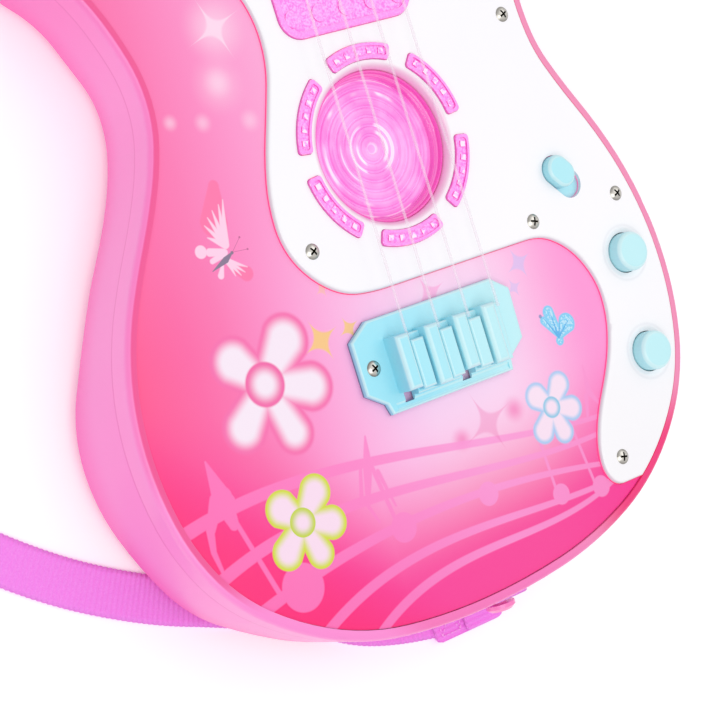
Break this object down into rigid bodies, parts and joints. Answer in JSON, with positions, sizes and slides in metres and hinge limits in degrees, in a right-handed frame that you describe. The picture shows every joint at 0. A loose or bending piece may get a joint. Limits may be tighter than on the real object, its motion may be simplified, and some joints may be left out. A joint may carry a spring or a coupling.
{
  "type": "toy electric guitar",
  "caption": "Child's plastic toy electric guitar with strings, round speaker, light windows, push buttons, slide switch, bridge, tuning keys, battery door and a shoulder strap.",
  "frame": {"origin": "on the flat back, straight under the middle of the round speaker", "axes": "the guitar lies on its back: +Z out of its front, +Y along the neck to the headstock, +X to the side with the buttons"},
  "size_m": [0.3157, 0.5492, 0.0399],
  "materials": {
    "casing": "gloss",
    "panel": "gloss with printed flowers and staff lines",
    "guard": "gloss",
    "lens": "translucent, pebbled",
    "aqua": "satin",
    "dome": "matte",
    "speaker_basket": "satin",
    "speaker_paper": "matte",
    "speaker_magnet": "satin",
    "board": "satin",
    "switch": "matte",
    "led": "clear",
    "screw": "polished",
    "string": "translucent",
    "contact": "satin",
    "battery_case": "matte",
    "battery_door": "gloss, with grip ribs",
    "cell": "gloss",
    "lead": "satin",
    "neck": "gloss",
    "head_face": "gloss",
    "fretboard": "satin",
    "fret": "gloss",
    "post": "gloss",
    "key": "gloss",
    "lug": "gloss",
    "strap": "ribbed webbing",
    "strap_fitting": "satin"
  },
  "bodies": {
    "guitar": {"back_shell": "casing", "front_shell": "casing", "front_panel": "panel", "pickguard": "guard", "ring_lenses": "lens", "pickup_lens": "lens", "speaker_dish": "lens", "bridge": "aqua", "nut": "aqua", "fret_dots": "aqua", "button_domes": "dome", "speaker_frame": "speaker_basket", "speaker_cone": "speaker_paper", "speaker_magnet": "speaker_magnet", "main_board": "board", "ring_light_board": "board", "pickup_light_board": "board", "slide_switch": "switch", "ring_leds": "led", "pickup_leds": "led", "casing_screws": "screw", "neck_screws": "screw", "pickguard_screws": "screw", "bridge_screw": "screw", "string_1": "string", "string_2": "string", "string_3": "string", "string_4": "string", "string_contacts": "contact", "battery_contacts": "contact", "battery_tray": "battery_case", "battery_cells": "cell", "speaker_leads": "lead", "battery_leads": "lead", "neck_back": "neck", "headstock_back": "neck", "headstock_front": "head_face", "fretboard": "fretboard", "frets": "fret", "string_posts": "post", "strap_lug_tail": "lug", "strap_lug_horn": "lug", "strap": "strap", "strap_tab_tail": "strap_fitting", "strap_tab_horn": "strap_fitting", "strap_slider": "strap_fitting"},
    "button_upper": {"button_upper": "aqua"},
    "button_lower": {"button_lower": "aqua"},
    "slide_knob": {"slide_knob": "aqua"},
    "battery_door": {"battery_door": "battery_door", "battery_door_screw": "screw"},
    "tuning_key_1": {"tuning_key_1": "key"},
    "tuning_key_2": {"tuning_key_2": "key"},
    "tuning_key_3": {"tuning_key_3": "key"},
    "tuning_key_4": {"tuning_key_4": "key"}
  },
  "joints": [
    {"name": "button_upper_press", "type": "slide", "parent": "guitar", "child": "button_upper", "axis": [0, 0, -1], "range_m": [0, 0.002], "stiffness_N_per_m": 300, "springref_m": -0.0002},
    {"name": "button_lower_press", "type": "slide", "parent": "guitar", "child": "button_lower", "axis": [0, 0, -1], "range_m": [0, 0.002], "stiffness_N_per_m": 300, "springref_m": -0.0002},
    {"name": "knob_slide", "type": "slide", "parent": "guitar", "child": "slide_knob", "axis": [0.6428, -0.766, 0], "range_m": [0, 0.0046]},
    {"name": "battery_door_hinge", "type": "hinge", "parent": "guitar", "child": "battery_door", "pos_m": [0, -0.0575, 0.0004], "axis": [1, 0, 0], "range_deg": [0, 75]},
    {"name": "tuning_key_1_turn", "type": "hinge", "parent": "guitar", "child": "tuning_key_1", "pos_m": [-0.0295, 0.334, 0.0235], "axis": [1, 0, 0], "continuous": true},
    {"name": "tuning_key_2_turn", "type": "hinge", "parent": "guitar", "child": "tuning_key_2", "pos_m": [0.0325, 0.334, 0.0235], "axis": [1, 0, 0], "continuous": true},
    {"name": "tuning_key_3_turn", "type": "hinge", "parent": "guitar", "child": "tuning_key_3", "pos_m": [-0.0295, 0.364, 0.0235], "axis": [1, 0, 0], "continuous": true},
    {"name": "tuning_key_4_turn", "type": "hinge", "parent": "guitar", "child": "tuning_key_4", "pos_m": [0.0325, 0.364, 0.0235], "axis": [1, 0, 0], "continuous": true}
  ]
}
